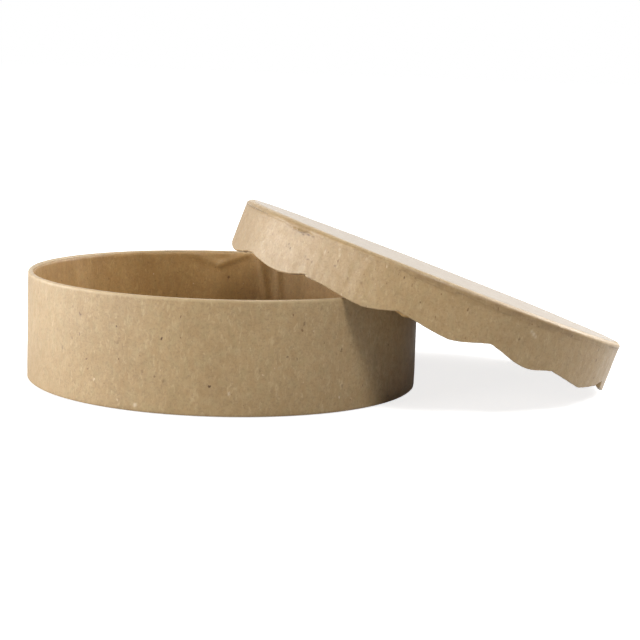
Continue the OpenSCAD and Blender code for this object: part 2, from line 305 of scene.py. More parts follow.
# Dark marks are flecks and rubbed places, and some are a painted shadow under the top sheet's torn edge and painted
# shade in the band below its top edge; pale marks are straw and fibres.
tone = mix_colour(tree, ramp(tree, mark, 0.05, 0.9, 0, 0.85), tone, (0.11, 0.052, 0.022, 1))
tone = mix_colour(tree, ramp(tree, mark, -0.05, -0.9, 0, 0.8), tone, (0.78, 0.66, 0.5, 1))
result = add_node(tree, "NodeGroupOutput")
tree.links.new(tone, result.inputs["Colour"])
pressed = add_node(tree, "ShaderNodeAttribute", attribute_name="pressed").outputs["Fac"]
tree.links.new(maths(tree, "MULTIPLY", pressed, 1.0), result.inputs["Coat"])
tree.links.new(ramp(tree, mottle, 0.3, 0.7, 0.52, 0.42), result.inputs["Roughness"])
height = maths(tree, "ADD", maths(tree, "MULTIPLY", mottle, 0.3), maths(tree, "MULTIPLY", grain, 0.25))
height = maths(tree, "ADD", height, maths(tree, "MULTIPLY", fibre, 0.3))
height = maths(tree, "SUBTRACT", height, maths(tree, "MULTIPLY", dark, 0.2))
height = maths(tree, "ADD", height, maths(tree, "MULTIPLY", light, 0.15))
tree.links.new(height, result.inputs["Height"])
print("pattern group has", len(tree.nodes), "nodes")


def srgb(*parts):
    """A colour written as 0 to 255 screen values, as linear light."""
    return tuple((c / 255 / 12.92 if c / 255 <= 0.04045 else ((c / 255 + 0.055) / 1.055) ** 2.4) for c in parts) + (1,)


def paper_material(name, tone, shade, pale, fleck=1.0, sheen=0.2, relief=0.13):
    """A matt kraft paper with its own tones over the shared pattern."""
    made = bpy.data.materials.new(name)
    made.use_nodes = True
    tree = made.node_tree
    shader = tree.nodes["Principled BSDF"]
    pattern = add_node(tree, "ShaderNodeGroup", node_tree=paper_group)
    pattern.inputs["Tone"].default_value = tone
    pattern.inputs["Shade"].default_value = shade
    pattern.inputs["Pale"].default_value = pale
    pattern.inputs["Fleck"].default_value = fleck
    bump = add_node(tree, "ShaderNodeBump", {"Strength": 1.0, "Distance": relief * MM})
    tree.links.new(pattern.outputs["Colour"], shader.inputs["Base Color"])
    tree.links.new(pattern.outputs["Roughness"], shader.inputs["Roughness"])
    tree.links.new(pattern.outputs["Coat"], shader.inputs["Coat Weight"])
    tree.links.new(pattern.outputs["Height"], bump.inputs["Height"])
    tree.links.new(bump.outputs["Normal"], shader.inputs["Normal"])
    shader.inputs["IOR"].default_value = 1.53
    shader.inputs["Sheen Weight"].default_value = sheen
    shader.inputs["Sheen Roughness"].default_value = 0.45
    shader.inputs["Coat Roughness"].default_value = 0.25
    return made


outer_paper = paper_material("outer_kraft", srgb(175, 147, 104), srgb(161, 133, 92), srgb(198, 174, 134), 1.0, 0.14)
lining_paper = paper_material("lining_kraft", srgb(174, 138, 86), srgb(150, 114, 66), srgb(196, 162, 108), 0.8, 0.04)
greyboard = paper_material("greyboard", srgb(150, 140, 122), srgb(128, 118, 102), srgb(170, 160, 142), 0.6, 0.05)
tape_paper = paper_material("gummed_tape", srgb(186, 152, 106), srgb(168, 134, 90), srgb(200, 170, 128), 0.4)

# %% [markdown]
# Every paper on this box goes right round an axis, so each starts as a small outline of radius
# and height that is spun into a ring. The outline is closed, because a sheet has two faces.
# Spinning is simpler than bending a flat strip, and the ring closes without a seam.
# %% Outlines and spinning
WEDGES = 16

def dense(points, step, hidden=None):
    """The same outline with extra points, so that no stretch is longer than step. A stretch whose
    two ends are hidden under another sheet has far fewer."""
    out = []
    for (r0, z0), (r1, z1) in zip(points, points[1:] + points[:1]):
        reach = 2.5 if hidden and hidden(r0, z0) and hidden(r1, z1) else step
        count = max(1, round(math.hypot(r1 - r0, z1 - z0) / reach))
        out += [(r0 + (r1 - r0) * i / count, z0 + (z1 - z0) * i / count) for i in range(count)]
    return out


def corner(r, z, radius, start, end, count=4):
    """A rounded corner about a centre, between two angles in degrees."""
    turns = [math.radians(start + (end - start) * i / count) for i in range(count + 1)]
    return [(r + radius * math.cos(t), z + radius * math.sin(t)) for t in turns]


def spun(points, steps, closed=True):
    """A bmesh of an outline spun once round the Z axis. One wedge is spun, and turned copies of
    it are merged, because a full spin of many steps is slow."""
    wedge = bmesh.new()
    verts = [wedge.verts.new((r, 0, z)) for r, z in points]
    pairs = list(zip(verts, verts[1:] + verts[:1]))
    edges = [wedge.edges.new(pair) for pair in (pairs if closed else pairs[:-1])]
    share = 2 * math.pi / WEDGES
    bmesh.ops.spin(wedge, geom=verts + edges, cent=(0, 0, 0), axis=(0, 0, 1),
                   angle=share, steps=steps // WEDGES, use_merge=False)
    mesh = bpy.data.meshes.new("wedge")
    wedge.to_mesh(mesh)
    wedge.free()
    bm = bmesh.new()
    for _ in range(WEDGES):
        mesh.transform(Matrix.Rotation(share, 4, "Z"))
        bm.from_mesh(mesh)
    bpy.data.meshes.remove(mesh)
    bmesh.ops.remove_doubles(bm, verts=bm.verts, dist=1e-4)
    bmesh.ops.recalc_face_normals(bm, faces=bm.faces)
    return bm


def finish_piece(name, bm, matrix, material, body, nodes, marks=None):
    """Turn a bmesh in millimetres into a named piece that rides on a body for its CAD nodes."""
    mesh = bpy.data.meshes.new(name)
    bm.to_mesh(mesh)
    bm.free()
    for key, values in (marks or {}).items():
        mesh.attributes.new(key, "FLOAT", "POINT").data.foreach_set("value", values)
    mesh.transform(matrix)
    mesh.polygons.foreach_set("use_smooth", [True] * len(mesh.polygons))
    mesh.materials.append(material)
    piece = bpy.data.objects.new(name, mesh)
    bpy.context.scene.collection.objects.link(piece)
    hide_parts(*nodes)
    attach(piece, body)
    print(name, "has", len(mesh.vertices), "points")
    return piece


# %% [markdown]
# Hand-laid paper is never true. It bulges a little, has shallow dents as wide as a fingertip,
# and fine puckers that mostly run up and down, because the sheet was pulled round the wall.
# These come from smooth noise, read at each point of the mesh, so they are the same each run.
# %% Waves in paper


def wave_noise(turn, radius, z, wide, tall, seed):
    """Smooth noise on a wall, wide and tall being the size of its bumps in millimetres."""
    return noise.noise(Vector((radius * math.cos(turn) / wide + seed * 7.3,
                               radius * math.sin(turn) / wide - seed * 3.1, z / tall + seed * 5.7)))


def unevenness(turn, radius, z, seed):
    """How far hand-laid paper stands off its true place, in millimetres."""
    return (0.085 * wave_noise(turn, radius, z, 17, 13, seed)
            + 0.05 * wave_noise(turn, radius, z, 6, 9, seed + 1)
            + 0.028 * wave_noise(turn, radius, z, 2.4, 4.5, seed + 2)
            + 0.014 * wave_noise(turn, radius, z, 1.1, 1.8, seed + 3))


def crease(s, z, line, width):
    """A soft ridge about a straight line on an unrolled wall: 1 on the line, 0 away from it."""
    (s0, z0), (s1, z1) = line
    length2 = (s1 - s0) ** 2 + (z1 - z0) ** 2
    t = max(0.0, min(1.0, ((s - s0) * (s1 - s0) + (z - z0) * (z1 - z0)) / length2))
    away = math.hypot(s - s0 - t * (s1 - s0), z - z0 - t * (z1 - z0))
    return math.exp(-(away / width) ** 2)


def marked(marks, deg, radius, z):
    """The strength of the marks at a point: above 0 dark, below 0 pale. A mark is a turn, a height,
    a half width, a half height and a strength."""
    total = 0.0
    for turn, height, wide, tall, strength in marks:
        if abs(z - height) < 3 * tall and abs(deg - turn) < 8:
            across = math.radians(deg - turn) * radius / wide
            total += strength * math.exp(-across ** 2 - ((z - height) / tall) ** 2)
    return max(-1.0, min(1.0, total))


def smooth(t):
    """0 below 0, 1 above 1, and an easy curve between."""
    t = max(0.0, min(1.0, t))
    return t * t * (3 - 2 * t)


# %% [markdown]
# The base's outer sheet is the largest paper. It goes up the wall, folds over the rim and ends
# under the lining; below, it folds in under the floor. The fold is soft, so the rim is round, with a pale line painted
# along its top: partly rubbed paper, partly a painted highlight. A rim folded by hand rises and falls by a few tenths
# of a millimetre.
# %% Outer sheet of the base
FOLD = 0.5
RIM_IN = BASE_BAND_IN - PAPER
BASE_MARKS = [
    (-140, 23.8, 0.5, 0.35, 0.9), (-156, 26.0, 0.4, 0.3, 0.8), (-147.5, 14.0, 0.35, 0.5, 0.8), (-127, 18.0, 0.4, 0.3, 0.9),
    (-119.5, 11.0, 0.35, 0.35, 0.8), (-113.5, 9.0, 0.3, 0.4, 0.8), (-76, 24.5, 0.35, 0.45, 1.0), (-71, 28.5, 0.4, 0.3, 0.7),
    (-121.5, 2.0, 0.5, 0.4, -0.9), (-96, 6.5, 0.3, 0.4, -0.7), (-88, 12.5, 0.3, 0.5, 0.6), (-103, 16.0, 0.5, 0.3, 0.5),
]


def base_cover():
    outline = dense(
        corner(BASE_R - FOLD, PAPER + FOLD, FOLD, -90, 0) + corner(BASE_R - FOLD, BASE_H - FOLD, FOLD, 0, 90)
        + corner(RIM_IN + FOLD, BASE_H - FOLD, FOLD, 90, 180)
        + [(RIM_IN, BASE_H - 6), (BASE_BAND_IN, BASE_H - 6), (BASE_BAND_IN, BASE_H - PAPER),
           (BASE_BAND_R, BASE_H - PAPER), (BASE_BAND_R, 2 * PAPER), (BASE_R - 7, 2 * PAPER), (BASE_R - 7, PAPER)],
        0.5, lambda r, z: z > PAPER + 0.05 and r < BASE_BAND_R + 0.001)
    bm = spun(outline, 720)
    wear_and_highlight, stain_and_shade, mark = [], [], []
    for v in bm.verts:
        r, z, turn = math.hypot(v.co.x, v.co.y), v.co.z, math.atan2(v.co.y, v.co.x)
        outer = r > BASE_BAND_R + 0.01
        rim = smooth((z - (BASE_H - 1.2)) / 1.2)
        foot = smooth((1.6 - z) / 1.6)
        if outer:
            off = unevenness(turn, BASE_R, z, 1) * 1.3 * (1 - 0.5 * foot)
            off += 0.10 * foot * wave_noise(turn, BASE_R, 0, 5, 9, 8)
            off -= 0.25 * smooth(1 - abs(math.degrees(turn) - 8) / 16)
            r += max(-0.16, off)
        if z > BASE_H - 3 and (outer or r < BASE_BAND_IN + 0.01):
            v.co.z += rim * (0.16 * wave_noise(turn, BASE_R, 0, 14, 9, 4) + 0.07 * wave_noise(turn, BASE_R, 0, 3.5, 9, 5))
        v.co.x, v.co.y = r * math.cos(turn), r * math.sin(turn)
        # Paler along the top of the rim: partly rubbed paper, partly a painted highlight.
        wear_and_highlight.append(smooth((z - (BASE_H - 0.9)) / 0.5) * (1.0 + 0.6 * wave_noise(turn, BASE_R, z, 3, 3, 6)))
        # Darker towards the foot.
        stain_and_shade.append(0.25 * foot if outer else 0.0)
        mark.append(marked(BASE_MARKS, math.degrees(turn), BASE_R, z) if outer else 0.0)
    return finish_piece("base_outer_sheet", bm, to_base, outer_paper, "base",
                        ["base_wall_cover"], {"wear_and_highlight": wear_and_highlight, "stain_and_shade": stain_and_shade, "mark": mark})


base_cover()

# %% [markdown]
# The lining of the wall is two papers thick, with a raw top edge just under the rim. It was
# pressed in damp, so it has soft upright folds and slanting creases, most of them where the
# tape over the board's joint lies behind it. Each crease is a line on the unrolled wall.
# %% Lining of the base's wall
BASE_CREASES = [
    # start (turn in degrees, height), end, width in mm, how far it stands in towards the middle
    ((93, 29.6), (84, 26.5), 1.1, 0.32), ((84, 26.5), (75, 29.8), 0.9, 0.4),
    ((70.5, 30), (67.5, 17), 1.1, 0.42), ((66, 27), (65, 4), 1.0, -0.20),
    ((64, 27), (62.5, 4), 1.2, 0.38), ((58, 25), (57, 6), 2.6, 0.28),
    ((50, 24), (49, 6), 2.8, 0.35), ((104, 28), (101, 10), 2.6, 0.22),
    ((118, 29), (121, 8), 3.0, 0.25), ((140, 28), (137, 16), 2.4, 0.2), ((85, 30), (84, 3), 5.0, 0.8),
]


def base_lining():
    top = BASE_H - 0.6
    outline = dense([(BASE_IN, FLOOR_TOP), (BASE_BAND_IN - 0.2, FLOOR_TOP), (BASE_BAND_IN - 0.2, top - 5.5),
                     (RIM_IN, top - 5.4), (RIM_IN, top - 0.1), (RIM_IN - 0.08, top), (BASE_IN + 0.1, top), (BASE_IN, top - 0.15)],
                    0.75)
    bm = spun(outline, 480)
    wear_and_highlight, stain_and_shade = [], []
    for v in bm.verts:
        r, z, turn = math.hypot(v.co.x, v.co.y), v.co.z, math.atan2(v.co.y, v.co.x)
        s = math.degrees(turn) * math.pi / 180 * BASE_IN
        fold = 0.0
        if r < BASE_IN + 0.12:
            fold = sum(amount * crease(s, z, ((math.radians(a0) * BASE_IN, z0), (math.radians(a1) * BASE_IN, z1)), width)
                       for (a0, z0), (a1, z1), width, amount in BASE_CREASES)
            off = 1.6 * unevenness(turn, BASE_IN, z, 11) + 0.12 * wave_noise(turn, BASE_IN, z, 9, 22, 14)
            r -= max(-0.05, off + fold) * smooth((z - FLOOR_TOP) / 1.0)
        if z > top - 0.3:
            v.co.z += 0.22 * wave_noise(turn, BASE_IN, 0, 6, 9, 15) + 0.08 * wave_noise(turn, BASE_IN, 0, 1.5, 9, 16)
        v.co.x, v.co.y = r * math.cos(turn), r * math.sin(turn)
        # Paler where the lining stands in on a crease: a painted highlight on the crease ridges.
        wear_and_highlight.append(0.4 * max(0.0, fold))
        # Painted shade: darker towards the floor corner, and a painted shadow along the lower side of the first two
        # creases.
        behind = sum(crease(s + 0.9, z + 0.7, ((math.radians(a0) * BASE_IN, z0), (math.radians(a1) * BASE_IN, z1)), width)
                     for (a0, z0), (a1, z1), width, amount in BASE_CREASES[:2])
        stain_and_shade.append(smooth((FLOOR_TOP + 2.5 - z) / 2.5) * 0.35 + 0.5 * min(1.0, behind))
    return finish_piece("base_wall_lining_sheet", bm, to_base, lining_paper, "base",
                        ["base_wall_lining"], {"wear_and_highlight": wear_and_highlight, "stain_and_shade": stain_and_shade})


base_lining()

# %% [markdown]
# The lid's skirt ends in hand-cut scallops: round lobes with sharper notches between them. The
# CAD model gives the turn and height of each notch and lobe, and the same easing curve joins
# them here, only finer. No two lobes are alike, and the uphill ones hang a little lower.
# %% The wavy edge
COUNT = 14
PITCH_TURN = 360 / COUNT
SHIFTS = [1, -0.8, 0.6, -1.2, 0, 0.9, -1.4, -1.1, 1.9, 4.9, 4.3, -0.3, 0.4, -0.9]
EXTRAS = [-0.4, 0.2, -0.3, 0.1, 0, 0.3, -0.2, 0, 0, 0.35, 1.1, -0.25, -0.6, -0.5]
DROPS = [0, 0.1, 0.3, 0, 0.1, 0, 0.4, 0.8, 0.75, 0.45, 0.12, 0.3, 0.95, 0.7]
FEET = [0, 0.02, -0.03, 0, 0, 0.02, -0.02, 0, 0.05, 0.065, -0.02, 0.02, -0.025, 0]
POINTS = [0.2, 0, 0.3, 0, 0, 0.4, 0, 0, 0, 0.4, 0.3, 0, 0.9, 0.3]
FOOT_PLACE = 0.58


def skirt_place(turn):
    """Where the inside of the leaning skirt stands over the table at a turn in degrees."""
    a = math.radians(turn)
    return lean_x + TOUCH_R * math.cos(a) * math.cos(tilt), TOUCH_R * math.sin(a) - LEAN_OFFSET


low, high = 90.0, 160.0
for _ in range(20):
    middle = (low + high) / 2
    low, high = (middle, high) if math.hypot(*skirt_place(middle)) > BASE_R else (low, middle)
rim_turn = (low + high) / 2
rim_rise = (BASE_H - lean_z + TOUCH_R * math.cos(math.radians(rim_turn)) * math.sin(tilt)) / math.cos(tilt)
rim_notch = round(rim_turn / PITCH_TURN - 0.5)


def notch(k):
    """Turn and height of the notch after lobe k."""
    if k % COUNT == rim_notch:
        return rim_turn + 0.5 + (k - rim_notch) // COUNT * 360, rim_rise + 0.5
    return (k + 0.5) * PITCH_TURN + SHIFTS[k % COUNT], 1.5 + EXTRAS[k % COUNT]


def edge_height(turn):
    """Height of the wavy edge at a turn in degrees."""
    k = math.floor(turn / PITCH_TURN + 0.5)
    while notch(k)[0] < turn:
        k += 1
    while notch(k - 1)[0] > turn:
        k -= 1
    (before, before_z), (after, after_z) = notch(k - 1), notch(k)
    foot = before + (FOOT_PLACE + FEET[k % COUNT]) * (after - before)
    low_z, point = -DROPS[k % COUNT], POINTS[k % COUNT]
    t = (foot - turn) / (foot - before) if turn < foot else (turn - foot) / (after - foot)
    ease = 0.25 * (1 - math.cos(math.pi * t)) + 0.5 * (1 - math.cos(math.pi / 2 * t))
    ease += (t - ease) * point
    return low_z + ease * ((before_z if turn < foot else after_z) - low_z)


SNIPS = [  # from, peak and to in degrees, height in mm: the scissors went in from one side
    (-40.0, -34.2, -33.6, 1.75), (-148.0, -143.5, -139.3, -0.35), (-139.3, -138.8, -132.5, -0.5),
    (-179.5, -168.8, -163.5, -1.4), (142.5, 150.0, 162.0, -2.2), (-114.5, -111.4, -110.2, 0.2),
    (20.0, 24.5, 25.2, 0.8), (63.0, 66.5, 67.2, 0.5),
]


def cut_height(turn):
    """The wavy edge with its one-sided snips, at a turn in degrees."""
    turn = (turn + 180) % 360 - 180
    z = edge_height(turn)
    for start, peak, stop, height in SNIPS:
        if start < turn < stop:
            z += height * ((turn - start) / (peak - start) if turn < peak else (stop - turn) / (stop - peak))
    return z


print("edge heights", [round(edge_height(a), 2) for a in range(-180, 180, 30)])

# %% [markdown]
# The skirt's outer sheet is folded round that edge and glued up inside. Paper cannot fold
# round a notch without being snipped, so the fold is thick and a little ragged there. The
# sheet is spun with a straight foot, then each point slides down to the wavy edge.
# %% Outer sheet of the skirt
HEAD_Z = LID_DEPTH - PAPER
HEAD_ROUND = 1.25
STRAIGHT_TO = 9.0


def inner_sag(deg):
    """How much lower the lining hangs near one notch, where it is seen behind the outer sheet."""
    return 1.35 * smooth(1 - abs(deg + 110.2) / 4.2)


def ragged(turn, seed):
    """A small uneven line for raw paper edges, in millimetres."""
    return 0.10 * wave_noise(turn, LID_R, 0, 1.6, 9, seed) + 0.05 * wave_noise(turn, LID_R, 0, 0.7, 9, seed + 1)


def near_notch(turn_deg, reach):
    """1 in a notch, falling to 0 at reach degrees away from it."""
    k = round(turn_deg / PITCH_TURN - 0.5)
    away = min(abs((turn_deg - notch(k + i)[0] + 180) % 360 - 180) for i in (-1, 0, 1))
    return smooth(1 - away / reach)


def skirt_bulge(turn, z):
    """How far the skirt's paper stands off its true place: small waves and upright rumples."""
    rumpled = 1 + 0.8 * smooth(1 - abs(math.degrees(turn) + 128) / 20)
    off = 1.5 * unevenness(turn, LID_R, z, 21) + 0.035 * wave_noise(turn, LID_R, z, 1.7, 2.2, 28) * rumpled
    off *= 1 - 0.45 * smooth((math.degrees(turn) + 70) / 20)
    off += 0.033 * rumpled ** 2 * wave_noise(turn, LID_R, z, 2.2, 14, 24) * smooth((12 - z) / 6)
    return max(-0.17, off)


def under_edge_dirt_and_shade(deg):
    """How dark the skirt is painted just under its top edge, most of all along the front: partly paste dirt, partly
    painted shade under the top sheet's edge.
    """
    return 0.25 + 0.75 * smooth((deg + 117) / 3) * smooth((-58 - deg) / 8)


def corner_wear(deg, z):
    """How much the lid's end that leans on the base is rubbed rounder at its top corner."""
    return 0.55 * smooth(1 - abs((deg + 360) % 360 - 184) / 32) * smooth((z - (LID_DEPTH - 2.4)) / 2.4)


SKIRT_MARKS = [
    # dark flecks
    (-74.6, 11.4, 0.4, 0.35, 0.9), (-78.8, 6.4, 0.35, 0.35, 0.8), (-85.0, 12.3, 0.4, 0.3, 0.9), (-77.6, 10.9, 0.35, 0.3, 0.7),
    (-114.7, 11.8, 0.3, 0.3, 0.7), (-110.3, 11.7, 0.3, 0.3, 0.7), (-101.7, 11.8, 0.4, 0.3, 0.8), (-131.6, 6.7, 0.4, 0.3, 0.8),
    (-156.4, 7.9, 0.3, 0.3, 0.9), (-148.4, 7.2, 0.3, 0.3, 0.8), (-123.0, 5.2, 0.35, 0.4, 0.6), (-96.0, 5.0, 0.4, 0.3, 0.5),
    # torn fibres and a painted shadow under the torn, lifted edge of the top sheet, and a squiggle below them
    (-146.3, 11.5, 0.8, 0.25, 0.9), (-144.6, 11.2, 0.5, 0.3, 0.8), (-143.0, 11.5, 0.6, 0.25, 1.0), (-141.2, 11.7, 0.5, 0.3, 0.9),
    (-138.5, 12.2, 0.5, 0.25, 0.8), (-141.3, 5.9, 0.3, 0.35, 0.7), (-140.2, 5.5, 0.5, 0.22, 0.8), (-138.6, 5.3, 0.3, 0.4, 0.7),
    # rubbed and torn places at the wavy edge
    (-139.2, 1.3, 0.35, 0.35, 0.7), (-137.5, 1.1, 0.6, 0.25, 0.7), (-143.3, 0.3, 0.5, 0.2, 0.6), (-112.6, 1.0, 0.7, 0.25, 0.8),
    (-110.3, 0.9, 0.6, 0.25, 0.9), (-108.6, 0.5, 0.5, 0.25, 0.8),
    # pale scratch and fibres
    (-76.1, 9.4, 0.45, 0.5, -0.4), (-75.2, 8.9, 0.45, 0.5, -0.45), (-74.3, 8.4, 0.45, 0.5, -0.4),
    (-135.9, 9.1, 0.3, 0.8, -0.35), (-132.1, 11.2, 0.3, 0.6, -0.35), (-131.4, 9.8, 0.3, 0.6, -0.3), (-124.1, 11.6, 0.3, 0.6, -0.3),
]


def skirt_cover():
    fold = 0.34
    outline = dense(
        corner(TOUCH_R + fold, fold, fold, 180, 270) + corner(LID_R - fold, fold, fold, -90, 0)
        + corner(LID_R - HEAD_ROUND, HEAD_Z - HEAD_ROUND, HEAD_ROUND, 0, 90, 6)
        + [(LID_R - 6, HEAD_Z), (LID_R - 6, HEAD_Z - PAPER)] + corner(LID_BAND_R - 0.7, HEAD_Z - PAPER - 0.7, 0.7, 90, 0)
        + [(LID_BAND_R, PAPER), (LID_BAND_IN, PAPER), (LID_BAND_IN, 6.0), (TOUCH_R, 6.0)],
        0.42, lambda r, z: z > 0.2 and r < LID_R - 0.01)
    bm = spun(outline, 1200)
    wear_and_highlight, stain_and_shade, mark = [], [], []
    for v in bm.verts:
        r, z, turn = math.hypot(v.co.x, v.co.y), v.co.z, math.atan2(v.co.y, v.co.x)
        deg = math.degrees(turn)
        edge = cut_height(deg)
        outer = r > LID_BAND_R + 0.02 and z < HEAD_Z - 0.3
        notched = near_notch(deg, 4.5)
        above = z
        v.co.z = z + edge * (1 - z / STRAIGHT_TO) if z < STRAIGHT_TO else z
        if z < 1.0:
            v.co.z += ragged(turn, 31) * (0.5 + 1.2 * notched) * (1 - z)
        r -= corner_wear(deg, v.co.z) if r > LID_BAND_R else 0.0
        if outer:
            off = skirt_bulge(turn, v.co.z)
            off += 0.12 * notched * smooth((3.2 - above) / 3) * (0.5 + wave_noise(turn, LID_R, v.co.z, 1.4, 3, 25))
            r += max(-0.17, off)
        v.co.x, v.co.y = r * math.cos(turn), r * math.sin(turn)
        wear_and_highlight.append(smooth((0.7 - above) / 0.7) * (0.5 + 0.6 * wave_noise(turn, LID_R, 0, 2, 9, 26)) if r > LID_BAND_IN else 0.0)
        # Darker overall and towards the lid's left end, and in a band under the top edge that is partly paste dirt and
        # partly painted shade under the top sheet's edge.
        band = under_edge_dirt_and_shade(deg)
        low_line = LID_DEPTH - 3.3 + 0.7 * wave_noise(turn, LID_R, 0, 3, 9, 27)
        band *= smooth((v.co.z - low_line) / 0.5) * (0.8 + wave_noise(turn, LID_R, 0, 1.5, 9, 29))
        stain_and_shade.append(min(1.0, 0.35 + 0.15 * smooth((-118 - deg) / 12) + 0.75 * band) if outer else 0.1)
        mark.append(marked(SKIRT_MARKS, deg, LID_R, v.co.z) if r > LID_BAND_R else 0.0)
    return finish_piece("lid_skirt_sheet", bm, to_lean, outer_paper, "lid",
                        ["lid_skirt_cover"], {"wear_and_highlight": wear_and_highlight, "stain_and_shade": stain_and_shade, "mark": mark})


skirt_cover()

# %% [markdown]
# The round sheet on top is turned down over the skirt by two millimetres or so. It was torn,
# not cut, so its edge is uneven and stands off the skirt here and there. The sheet has a soft
# rounded edge and a few very shallow waves, which show because light grazes the top.
# %% Top sheet
LIP = [(-180, 1.2), (-157, 1.25), (-153, 1.6), (-151, 2.1), (-148.6, 2.35), (-145.6, 2.3), (-144.4, 1.9), (-141, 2.1),
       (-137, 1.7), (-131, 2.1), (-126, 1.8), (-121, 2.2), (-114, 1.8), (-108, 2.3), (-103, 2.5), (-97, 1.9), (-92, 2.1),
       (-86, 2.6), (-79, 2.2), (-74, 2.6), (-66, 2.0), (-61, 2.5), (-52, 1.9), (-46, 2.3), (-38, 1.8), (-29, 2.2), (-20, 1.7),
       (-9, 2.1), (4, 1.7), (19, 2.3), (37, 1.8), (55, 2.4), (76, 1.9), (98, 2.4), (121, 1.7), (143, 2.2), (163, 1.6), (180, 1.2)]


def lip_depth(deg):
    """How far the top sheet reaches down over the skirt at a turn in degrees."""
    i = max(1, bisect.bisect_left(LIP, (deg, 0.0)))
    (a0, d0), (a1, d1) = LIP[i - 1], LIP[min(i, len(LIP) - 1)]
    return d0 + (d1 - d0) * smooth((deg - a0) / max(a1 - a0, 1e-6))


def lip_stand(deg):
    """How far that edge stands off the skirt: 1 where it was torn loose, 0 where it lies flat."""
    torn = smooth((-141.5 - deg) / 2.5) * (0.25 + 0.75 * smooth((deg + 155) / 4))
    loose = 0.45 * smooth((deg + 116) / 4) * smooth((-82 - deg) / 5)
    behind = 0.6 * smooth((deg - 10) / 20)
    return max(torn, loose, behind)


def top_cover():
    edge_r, lip_reach = 1.5, 2.4
    outer_r = LID_R + 0.2
    outline = [(r, LID_DEPTH) for r in (0, 3, 8, 14, 20, 26, 32, 38, 43, 47, 50, 52.5, 54.5, 56)]
    outline += corner(outer_r - edge_r, LID_DEPTH - edge_r, edge_r, 90, 0, 8)
    outline += [(LID_R + out, LID_DEPTH - down) for out, down in
                ((0.19, 1.65), (0.17, 1.85), (0.15, 2.05), (0.12, 2.2), (0.09, 2.32), (0.05, lip_reach), (-0.03, lip_reach))]
    outline += corner(LID_R - HEAD_ROUND, HEAD_Z - HEAD_ROUND, HEAD_ROUND, 0, 90, 6)
    outline += [(LID_R - 6, HEAD_Z), (LID_R - 6, HEAD_Z - PAPER), (0, HEAD_Z - PAPER)]
    bm = spun(outline, 1200, closed=False)
    wear_and_highlight, stain_and_shade, mark, pressed = [], [], [], []
    for v in bm.verts:
        r, z, turn = math.hypot(v.co.x, v.co.y), v.co.z, math.atan2(v.co.y, v.co.x)
        deg = math.degrees(turn)
        side = r > LID_R - 0.1
        stand = lip_stand(deg)
        lip = min(1.0, max(0.0, (LID_DEPTH - edge_r - z) / (lip_reach - edge_r))) if side else 0.0
        if lip > 0:
            v.co.z = LID_DEPTH - edge_r - lip * (max(lip_depth(deg) + ragged(turn, 41) * 2.4, edge_r + 0.08) - edge_r)
        r -= corner_wear(deg, z) if r > LID_R - 2 else 0.0
        if side and r > LID_R + 0.03:
            r -= (r - LID_R - 0.03) * (1 - stand) * smooth((LID_DEPTH - 0.6 - z) / 1.1)
        if side or z > LID_DEPTH - edge_r and r > outer_r - edge_r:
            r += skirt_bulge(turn, v.co.z) * smooth((LID_DEPTH - 0.2 - z) / 1.2) * (1 if side else 0.5)
        if lip > 0:
            r += 0.09 * stand * max(0.0, 0.2 + wave_noise(turn, LID_R, 0, 7, 9, 43)) * smooth(lip)
            r += 0.5 * smooth(lip) * smooth(1 - abs(deg + 146.5) / 6) * (1 + wave_noise(turn, LID_R, 0, 0.9, 9, 44))
        if z > LID_DEPTH - edge_r:
            v.co.z += (0.09 * wave_noise(turn, r, 0, 24, 9, 45) + 0.045 * wave_noise(turn, r, 0, 8, 9, 46)
                       + 0.012 * wave_noise(turn, r, 0, 2.6, 9, 47))
        v.co.x, v.co.y = r * math.cos(turn), r * math.sin(turn)
        # Paler on the rounded top edge: a painted highlight.
        wear_and_highlight.append(smooth((z - (LID_DEPTH - 0.6)) / 0.4) * smooth((r - (outer_r - edge_r - 0.2)) / 0.6) * 0.8)
        # Darker on the turned-down edge, most where it stands loose and along the front, with dark specks in the band
        # under the top edge: partly paste dirt, partly painted shade.
        dirt_and_shade = 0.3 + 0.9 * max(stand * 0.7, under_edge_dirt_and_shade(deg)) * (0.75 + wave_noise(turn, LID_R, 0, 2.5, 9, 49))
        stain_and_shade.append(min(1.0, dirt_and_shade) * smooth((LID_DEPTH - 0.4 - z) / 0.4))
        mark.append(0.24 * under_edge_dirt_and_shade(deg) * smooth((LID_DEPTH - 0.45 - z) / 0.4) * smooth((LID_DEPTH - z - 2.8) / -1.0)
                    * (0.7 + 1.2 * wave_noise(turn, LID_R, z, 1.6, 1.2, 50)))
        pressed.append(smooth((z - (LID_DEPTH - 0.4)) / 0.3) * smooth((outer_r - edge_r - r) / 1.0))
    return finish_piece("lid_top_sheet", bm, to_lean, outer_paper, "lid",
                        ["lid_top_cover"], {"wear_and_highlight": wear_and_highlight, "stain_and_shade": stain_and_shade, "mark": mark, "pressed": pressed})


top_cover()

# %% [markdown]
# Inside, the lid is lined like the base. The lining of the skirt ends in a wavy line of its own
# a millimetre short of the fold, and round sheets lie under the top and on the floor. They are
# seen from below or from above only, but they are made as carefully.
# %% Linings of the lid and round sheets


